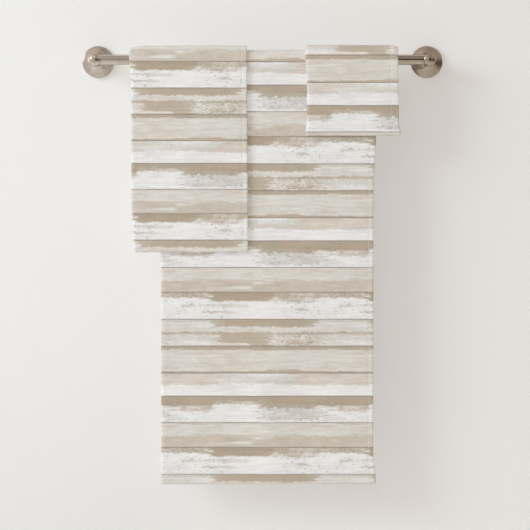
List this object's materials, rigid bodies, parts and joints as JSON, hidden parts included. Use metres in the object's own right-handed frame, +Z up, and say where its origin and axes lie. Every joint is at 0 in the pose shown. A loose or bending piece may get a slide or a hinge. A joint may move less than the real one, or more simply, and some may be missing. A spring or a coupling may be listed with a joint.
{
  "type": "bath towel set on a towel rail",
  "caption": "Printed bath towel, hand towel and washcloth, folded lengthwise and hung over a wall-mounted brushed nickel towel rail with round roses.",
  "frame": {"origin": "on the wall plane, midway between the posts, level with the bar's axis", "axes": "+X along the bar to the right as seen from the room, +Y into the wall, +Z up"},
  "size_m": [0.649, 0.1324, 0.7815],
  "materials": {
    "brushed_nickel": "brushed nickel plate, satin",
    "zinc": "cast zinc, dull",
    "screw_steel": "zinc-plated steel",
    "anchor_plastic": "moulded nylon",
    "printed_terry": "sheared terry printed with pale distressed planks in beige, taupe and white; white terry loops on the other side",
    "towel_hem": "turned and stitched hem of the printed terry",
    "label": "woven white satin, blank"
  },
  "bodies": {
    "rail": {"bar_tube": "brushed_nickel", "left_post": "brushed_nickel", "left_bracket": "zinc", "left_set_screw": "screw_steel", "left_bracket_screw_upper": "screw_steel", "left_wall_anchor_upper": "anchor_plastic", "left_bracket_screw_lower": "screw_steel", "left_wall_anchor_lower": "anchor_plastic", "right_post": "brushed_nickel", "right_bracket": "zinc", "right_set_screw": "screw_steel", "right_bracket_screw_upper": "screw_steel", "right_wall_anchor_upper": "anchor_plastic", "right_bracket_screw_lower": "screw_steel", "right_wall_anchor_lower": "anchor_plastic"},
    "bath_towel": {"bath_towel_saddle": "printed_terry", "bath_towel_back_panel": "printed_terry", "bath_towel_front_panel": "printed_terry", "bath_towel_front_side_hem": "towel_hem", "bath_towel_back_side_hem": "towel_hem", "bath_towel_front_end_hem": "towel_hem", "bath_towel_back_end_hem": "towel_hem", "bath_towel_care_label": "label"},
    "hand_towel": {"hand_towel_saddle": "printed_terry", "hand_towel_back_panel": "printed_terry", "hand_towel_back_side_hem": "towel_hem", "hand_towel_back_end_hem": "towel_hem", "hand_towel_care_label": "label"},
    "hand_towel_front": {"hand_towel_front_top": "printed_terry", "hand_towel_front_panel": "printed_terry", "hand_towel_front_side_hem": "towel_hem", "hand_towel_front_end_hem": "towel_hem"},
    "washcloth": {"washcloth_saddle": "printed_terry", "washcloth_back_panel": "printed_terry", "washcloth_back_side_hem": "towel_hem", "washcloth_back_end_hem": "towel_hem", "washcloth_care_label": "label"},
    "washcloth_front": {"washcloth_front_top": "printed_terry", "washcloth_front_panel": "printed_terry", "washcloth_front_side_hem": "towel_hem", "washcloth_front_end_hem": "towel_hem"}
  },
  "joints": [
    {"name": "bath_towel_slide", "type": "slide", "parent": "rail", "child": "bath_towel", "axis": [1, 0, 0], "range_m": [-0.02, 0.02]},
    {"name": "hand_towel_slide", "type": "slide", "parent": "bath_towel", "child": "hand_towel", "axis": [1, 0, 0], "range_m": [-0.028, 0.024]},
    {"name": "washcloth_slide", "type": "slide", "parent": "bath_towel", "child": "washcloth", "axis": [1, 0, 0], "range_m": [-0.018, 0.018]},
    {"name": "hand_towel_front_lift", "type": "hinge", "parent": "hand_towel", "child": "hand_towel_front", "pos_m": [-0.1296, -0.072, 0.0256], "axis": [-1, 0, 0], "range_deg": [0, 70]},
    {"name": "washcloth_front_lift", "type": "hinge", "parent": "washcloth", "child": "washcloth_front", "pos_m": [0.1603, -0.072, 0.0264], "axis": [-1, 0, 0], "range_deg": [0, 70]}
  ]
}
